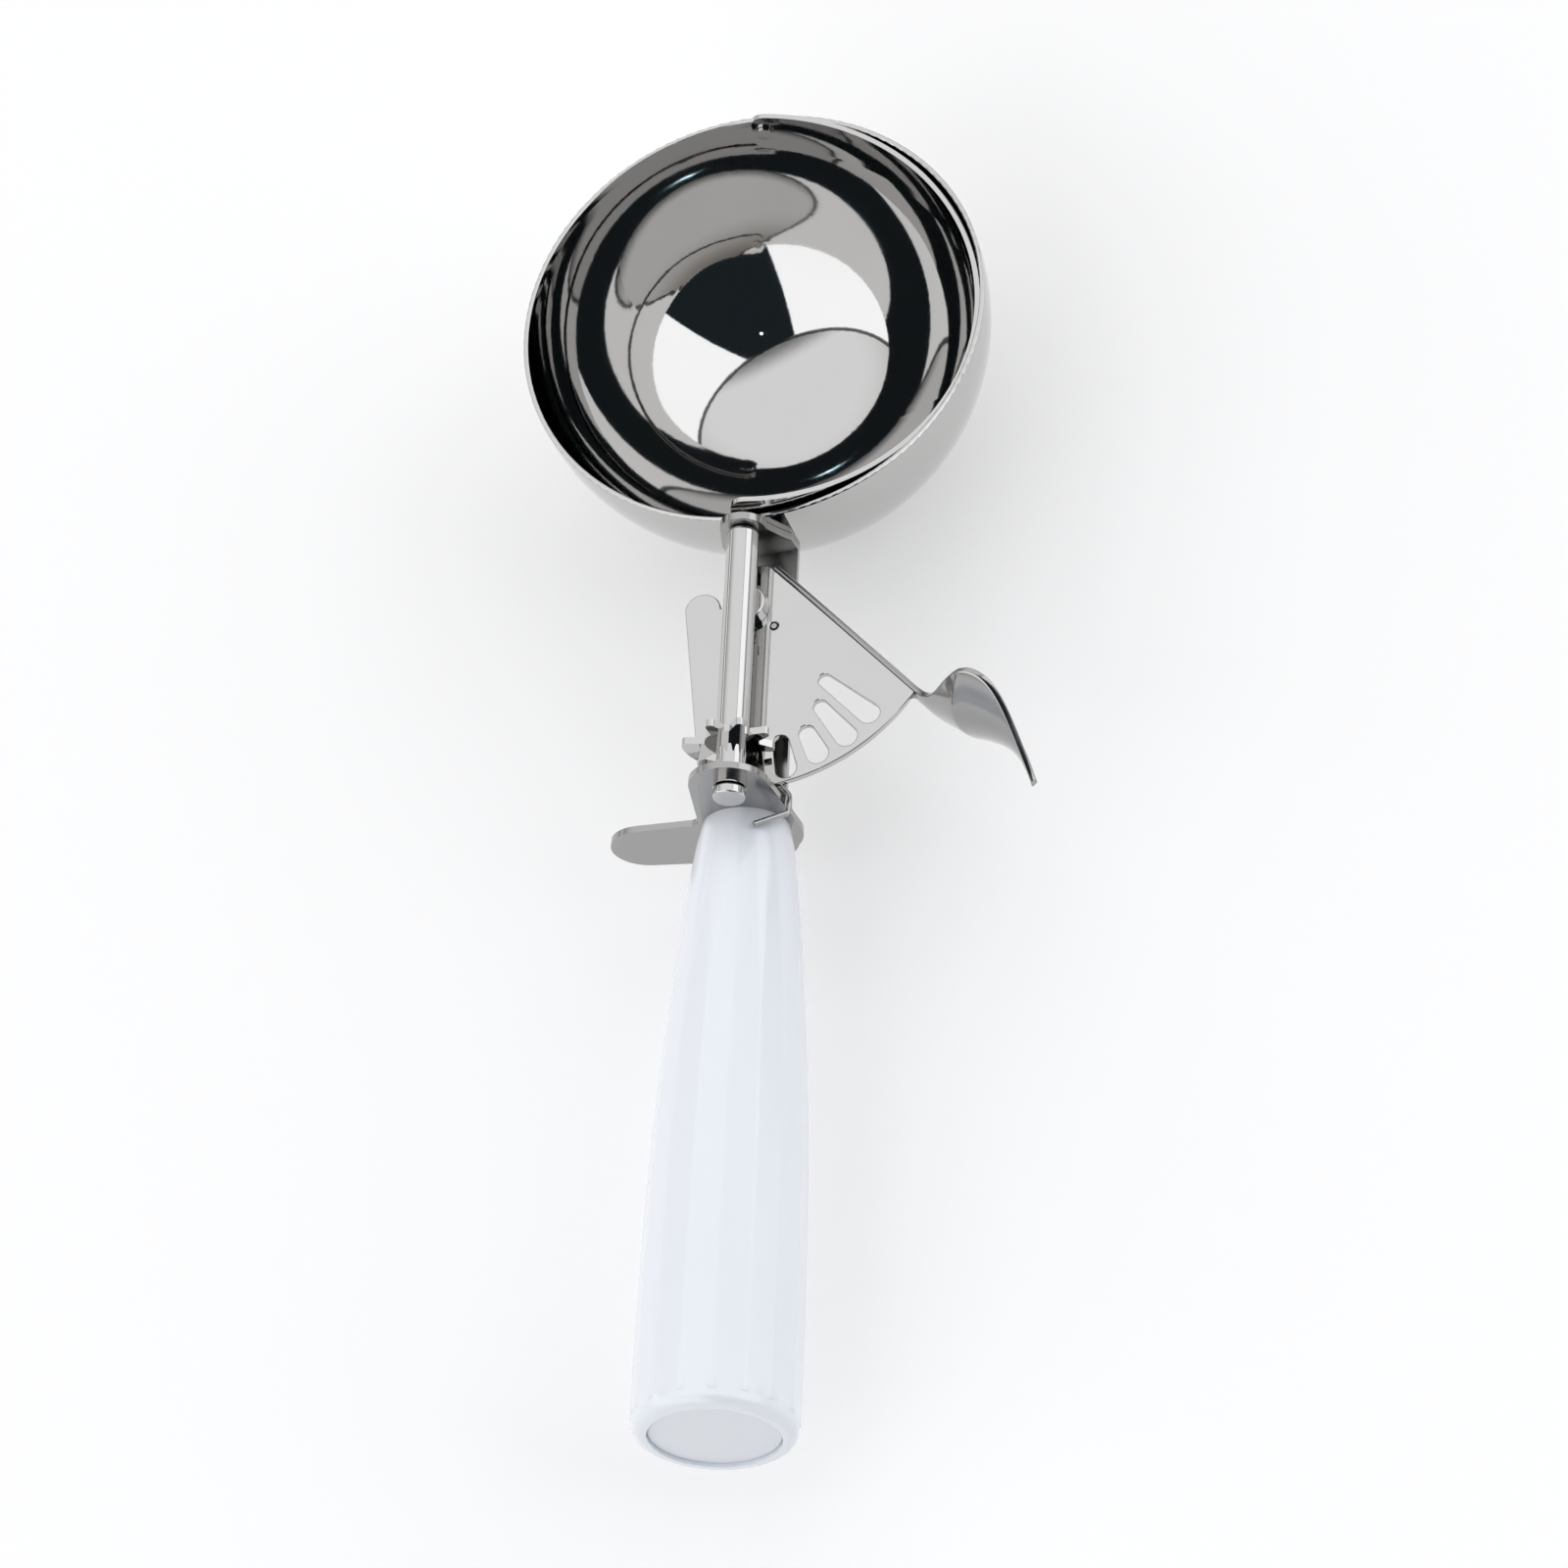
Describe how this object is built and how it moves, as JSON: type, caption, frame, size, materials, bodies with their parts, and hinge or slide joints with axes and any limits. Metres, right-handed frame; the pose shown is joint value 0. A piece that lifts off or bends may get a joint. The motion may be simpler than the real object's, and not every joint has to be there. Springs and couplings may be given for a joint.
{
  "type": "lever ice cream scoop",
  "caption": "Food disher with a polished half-round bowl, a geared thumb lever that sweeps a scraper blade round the bowl, and a white faceted grip.",
  "frame": {"origin": "bottom centre of the scoop's box, under the lowest point of the bowl's height", "axes": "+Y runs along the shaft to the bowl's far end, +Z out of the bowl's mouth, +X to the thumb lever"},
  "size_m": [0.0852, 0.2288, 0.0472],
  "materials": {
    "bowl": "polished stainless steel",
    "blade_tip_rivet": "polished stainless steel",
    "scraper_blade": "polished stainless steel",
    "blade_root_rivet": "polished stainless steel",
    "shaft_core": "stainless steel rod",
    "shaft_tube": "polished stainless steel",
    "star_wheel": "polished stamped stainless steel",
    "lower_sleeve": "polished stainless steel",
    "shaft_end_cap": "polished stainless steel",
    "shaft_bush": "polished stainless steel",
    "sector_gear": "polished stainless sheet",
    "thumb_lever": "satin polished stainless sheet",
    "pivot_rivet": "polished stainless steel",
    "pivot_washer": "stainless steel",
    "return_spring": "bright spring wire",
    "frame_strap": "satin polished stainless strip",
    "finger_plate": "satin polished stainless sheet",
    "handle_tang": "steel rod",
    "handle_grip": "milky moulded plastic",
    "handle_end_plug": "milky moulded plastic"
  },
  "bodies": {
    "frame": {"bowl": "bowl", "blade_tip_rivet": "blade_tip_rivet", "shaft_bush": "shaft_bush", "pivot_rivet": "pivot_rivet", "pivot_washer": "pivot_washer", "return_spring": "return_spring", "frame_strap": "frame_strap", "finger_plate": "finger_plate", "handle_tang": "handle_tang", "handle_grip": "handle_grip", "handle_end_plug": "handle_end_plug"},
    "lever": {"sector_gear": "sector_gear", "thumb_lever": "thumb_lever"},
    "scraper": {"scraper_blade": "scraper_blade", "blade_root_rivet": "blade_root_rivet", "shaft_core": "shaft_core", "shaft_tube": "shaft_tube", "star_wheel": "star_wheel", "lower_sleeve": "lower_sleeve", "shaft_end_cap": "shaft_end_cap"}
  },
  "joints": [
    {"name": "lever_press", "type": "hinge", "parent": "frame", "child": "lever", "pos_m": [-0.0045, 0.02534, 0.0322], "axis": [0, 0, -1], "range_deg": [0, 36], "stiffness_Nm_per_rad": 0.3, "springref_deg": -20.05, "deforming": ["return_spring"]},
    {"name": "scraper_turn", "type": "hinge", "parent": "frame", "child": "scraper", "pos_m": [-0.0045, 0.07584, 0.0381], "axis": [0, 1, 0], "range_deg": [0, 162]}
  ],
  "couplings": [
    {"joint": "scraper_turn", "follows": "lever_press", "ratio": 4.5}
  ]
}
